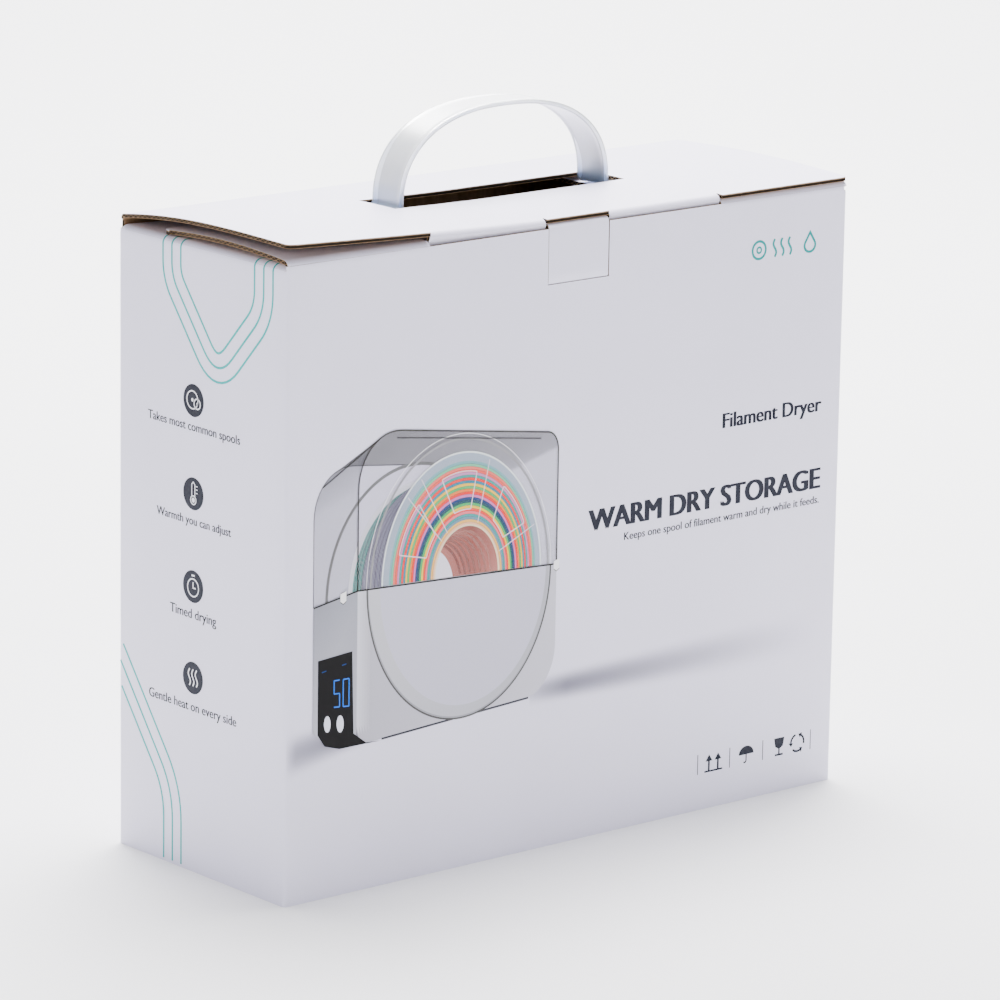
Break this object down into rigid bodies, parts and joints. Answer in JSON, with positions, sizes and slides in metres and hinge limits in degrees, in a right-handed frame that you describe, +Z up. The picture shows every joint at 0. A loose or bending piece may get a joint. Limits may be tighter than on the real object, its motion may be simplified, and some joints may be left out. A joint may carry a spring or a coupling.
{
  "type": "filament dryer box",
  "caption": "Tall folding retail carton of thin corrugated board for a filament dryer, with a hinged lid, folding flaps, a press-in tab and a plastic carry strap.",
  "frame": {"origin": "centre of the carton's base, on the floor", "axes": "+Z up, -Y towards the printed front, +X to the right seen from the front"},
  "size_m": [0.32, 0.119, 0.3265],
  "materials": {
    "wall_front": "white coated liner outside, brown inside",
    "wall_back": "white coated liner outside, brown inside",
    "wall_left": "white coated liner outside, brown inside",
    "wall_right": "white coated liner outside, brown inside",
    "glue_tab": "bare brown kraft",
    "bottom_flap_front": "white coated liner outside, brown inside",
    "bottom_flap_left": "bare brown kraft",
    "bottom_flap_right": "bare brown kraft",
    "bottom_flap_back": "bare brown kraft",
    "dust_flap_left": "white coated liner outside, brown inside",
    "dust_flap_right": "white coated liner outside, brown inside",
    "inner_flap": "white coated liner outside, brown inside",
    "lid_panel": "white coated liner outside, brown inside",
    "tuck_lip_left": "white coated liner outside, brown inside",
    "tuck_lip_right": "white coated liner outside, brown inside",
    "thumb_tab": "white coated liner outside, brown inside",
    "handle_strap": "translucent milky polyethylene",
    "handle_anchor_left": "translucent milky polyethylene",
    "handle_anchor_right": "translucent milky polyethylene"
  },
  "bodies": {
    "carton": {"wall_front": "wall_front", "wall_back": "wall_back", "wall_left": "wall_left", "wall_right": "wall_right", "glue_tab": "glue_tab", "bottom_flap_front": "bottom_flap_front", "bottom_flap_left": "bottom_flap_left", "bottom_flap_right": "bottom_flap_right", "bottom_flap_back": "bottom_flap_back"},
    "lid": {"lid_panel": "lid_panel", "tuck_lip_left": "tuck_lip_left", "tuck_lip_right": "tuck_lip_right", "handle_anchor_left": "handle_anchor_left", "handle_anchor_right": "handle_anchor_right"},
    "inner_flap": {"inner_flap": "inner_flap"},
    "dust_flap_left": {"dust_flap_left": "dust_flap_left"},
    "dust_flap_right": {"dust_flap_right": "dust_flap_right"},
    "thumb_tab": {"thumb_tab": "thumb_tab"},
    "handle": {"handle_strap": "handle_strap"}
  },
  "joints": [
    {"name": "lid_hinge", "type": "hinge", "parent": "carton", "child": "lid", "pos_m": [0, 0.0604, 0.28115], "axis": [-1, 0, 0], "range_deg": [0, 200]},
    {"name": "inner_flap_hinge", "type": "hinge", "parent": "carton", "child": "inner_flap", "pos_m": [0, -0.0595, 0.27905], "axis": [1, 0, 0], "range_deg": [0, 64]},
    {"name": "dust_flap_left_hinge", "type": "hinge", "parent": "carton", "child": "dust_flap_left", "pos_m": [-0.16, 0, 0.27685], "axis": [0, -1, 0], "range_deg": [0, 28]},
    {"name": "dust_flap_right_hinge", "type": "hinge", "parent": "carton", "child": "dust_flap_right", "pos_m": [0.16, 0, 0.27685], "axis": [0, 1, 0], "range_deg": [0, 28]},
    {"name": "thumb_tab_hinge", "type": "hinge", "parent": "carton", "child": "thumb_tab", "pos_m": [0, -0.0586, 0.25465], "axis": [-1, 0, 0], "range_deg": [0, 20], "stiffness_Nm_per_rad": 0.02},
    {"name": "handle_lean", "type": "hinge", "parent": "lid", "child": "handle", "pos_m": [0, 0, 0.29], "axis": [1, 0, 0], "range_deg": [-40, 40], "stiffness_Nm_per_rad": 0.03}
  ],
  "couplings": [
    {"joint": "inner_flap_hinge", "follows": "lid_hinge", "ratio": 0.32},
    {"joint": "dust_flap_left_hinge", "follows": "lid_hinge", "ratio": 0.14},
    {"joint": "dust_flap_right_hinge", "follows": "lid_hinge", "ratio": 0.14}
  ]
}
